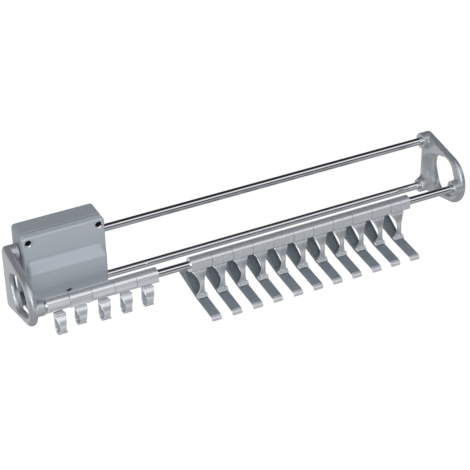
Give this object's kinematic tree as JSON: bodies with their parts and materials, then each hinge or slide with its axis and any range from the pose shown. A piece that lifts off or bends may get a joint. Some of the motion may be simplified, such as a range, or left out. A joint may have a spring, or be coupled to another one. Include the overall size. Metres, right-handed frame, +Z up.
{
  "type": "pull-out tie and belt rack",
  "caption": "Wall-mounted pull-out wardrobe rack: a small housing guides two slide rails with end plates and hand holes, and a front rail of swivelling belt hooks and tie holders.",
  "frame": {"origin": "middle of the housing's back face, on the wall", "axes": "+Y into the wall, so the rack stands out towards -Y; +X along the rails, away from the side the rack is pulled out to; +Z up"},
  "size_m": [0.4926, 0.1188, 0.097],
  "materials": {
    "housing_back": "satin silver-grey moulded shell",
    "housing_front": "satin silver-grey moulded cover",
    "screw": "bright zinc-plated cross-head screw",
    "bush": "dark low-friction bush",
    "rail": "polished chrome tube",
    "plate": "metallic silver-grey satin gloss",
    "belt_hook": "bright silver metallic",
    "tie_clip": "silver metallic",
    "tie_arm": "slate grey, slightly grippy",
    "tie_tip": "bright silver metallic"
  },
  "bodies": {
    "housing": {"housing_base": "housing_back", "housing_cover": "housing_front", "cover_screw": "screw", "bush_top_left": "bush", "bush_top_right": "bush", "bush_low_left": "bush", "bush_low_right": "bush"},
    "frame": {"rail_top": "rail", "rail_low": "rail", "rail_hook": "rail", "plate_left": "plate", "plate_right": "plate"},
    "belt_1": {"belt_hook_1": "belt_hook"},
    "belt_2": {"belt_hook_2": "belt_hook"},
    "belt_3": {"belt_hook_3": "belt_hook"},
    "belt_4": {"belt_hook_4": "belt_hook"},
    "belt_5": {"belt_hook_5": "belt_hook"},
    "tie_1": {"tie_clip_1": "tie_clip", "tie_arm_1": "tie_arm", "tie_tip_1": "tie_tip"},
    "tie_2": {"tie_clip_2": "tie_clip", "tie_arm_2": "tie_arm", "tie_tip_2": "tie_tip"},
    "tie_3": {"tie_clip_3": "tie_clip", "tie_arm_3": "tie_arm", "tie_tip_3": "tie_tip"},
    "tie_4": {"tie_clip_4": "tie_clip", "tie_arm_4": "tie_arm", "tie_tip_4": "tie_tip"},
    "tie_5": {"tie_clip_5": "tie_clip", "tie_arm_5": "tie_arm", "tie_tip_5": "tie_tip"},
    "tie_6": {"tie_clip_6": "tie_clip", "tie_arm_6": "tie_arm", "tie_tip_6": "tie_tip"},
    "tie_7": {"tie_clip_7": "tie_clip", "tie_arm_7": "tie_arm", "tie_tip_7": "tie_tip"},
    "tie_8": {"tie_clip_8": "tie_clip", "tie_arm_8": "tie_arm", "tie_tip_8": "tie_tip"},
    "tie_9": {"tie_clip_9": "tie_clip", "tie_arm_9": "tie_arm", "tie_tip_9": "tie_tip"},
    "tie_10": {"tie_clip_10": "tie_clip", "tie_arm_10": "tie_arm", "tie_tip_10": "tie_tip"},
    "tie_11": {"tie_clip_11": "tie_clip", "tie_arm_11": "tie_arm", "tie_tip_11": "tie_tip"}
  },
  "joints": [
    {"name": "pull_out", "type": "slide", "parent": "housing", "child": "frame", "axis": [-1, 0, 0], "range_m": [0, 0.3746]},
    {"name": "belt_hook_turn_1", "type": "hinge", "parent": "frame", "child": "belt_1", "pos_m": [-0.03, -0.0801, -0.003], "axis": [1, 0, 0], "range_deg": [-90, 90]},
    {"name": "belt_hook_turn_2", "type": "hinge", "parent": "frame", "child": "belt_2", "pos_m": [-0.0066, -0.0801, -0.003], "axis": [1, 0, 0], "range_deg": [-90, 90]},
    {"name": "belt_hook_turn_3", "type": "hinge", "parent": "frame", "child": "belt_3", "pos_m": [0.0168, -0.0801, -0.003], "axis": [1, 0, 0], "range_deg": [-90, 90]},
    {"name": "belt_hook_turn_4", "type": "hinge", "parent": "frame", "child": "belt_4", "pos_m": [0.0402, -0.0801, -0.003], "axis": [1, 0, 0], "range_deg": [-90, 90]},
    {"name": "belt_hook_turn_5", "type": "hinge", "parent": "frame", "child": "belt_5", "pos_m": [0.0636, -0.0801, -0.003], "axis": [1, 0, 0], "range_deg": [-90, 90]},
    {"name": "tie_holder_turn_1", "type": "hinge", "parent": "frame", "child": "tie_1", "pos_m": [0.12247, -0.0801, -0.003], "axis": [1, 0, 0], "range_deg": [-90, 4]},
    {"name": "tie_holder_turn_2", "type": "hinge", "parent": "frame", "child": "tie_2", "pos_m": [0.14547, -0.0801, -0.003], "axis": [1, 0, 0], "range_deg": [-90, 4]},
    {"name": "tie_holder_turn_3", "type": "hinge", "parent": "frame", "child": "tie_3", "pos_m": [0.16847, -0.0801, -0.003], "axis": [1, 0, 0], "range_deg": [-90, 4]},
    {"name": "tie_holder_turn_4", "type": "hinge", "parent": "frame", "child": "tie_4", "pos_m": [0.19147, -0.0801, -0.003], "axis": [1, 0, 0], "range_deg": [-90, 4]},
    {"name": "tie_holder_turn_5", "type": "hinge", "parent": "frame", "child": "tie_5", "pos_m": [0.21447, -0.0801, -0.003], "axis": [1, 0, 0], "range_deg": [-90, 4]},
    {"name": "tie_holder_turn_6", "type": "hinge", "parent": "frame", "child": "tie_6", "pos_m": [0.23747, -0.0801, -0.003], "axis": [1, 0, 0], "range_deg": [-90, 4]},
    {"name": "tie_holder_turn_7", "type": "hinge", "parent": "frame", "child": "tie_7", "pos_m": [0.26047, -0.0801, -0.003], "axis": [1, 0, 0], "range_deg": [-90, 4]},
    {"name": "tie_holder_turn_8", "type": "hinge", "parent": "frame", "child": "tie_8", "pos_m": [0.28347, -0.0801, -0.003], "axis": [1, 0, 0], "range_deg": [-90, 4]},
    {"name": "tie_holder_turn_9", "type": "hinge", "parent": "frame", "child": "tie_9", "pos_m": [0.30647, -0.0801, -0.003], "axis": [1, 0, 0], "range_deg": [-90, 4]},
    {"name": "tie_holder_turn_10", "type": "hinge", "parent": "frame", "child": "tie_10", "pos_m": [0.32947, -0.0801, -0.003], "axis": [1, 0, 0], "range_deg": [-90, 4]},
    {"name": "tie_holder_turn_11", "type": "hinge", "parent": "frame", "child": "tie_11", "pos_m": [0.35247, -0.0801, -0.003], "axis": [1, 0, 0], "range_deg": [-90, 4]}
  ]
}
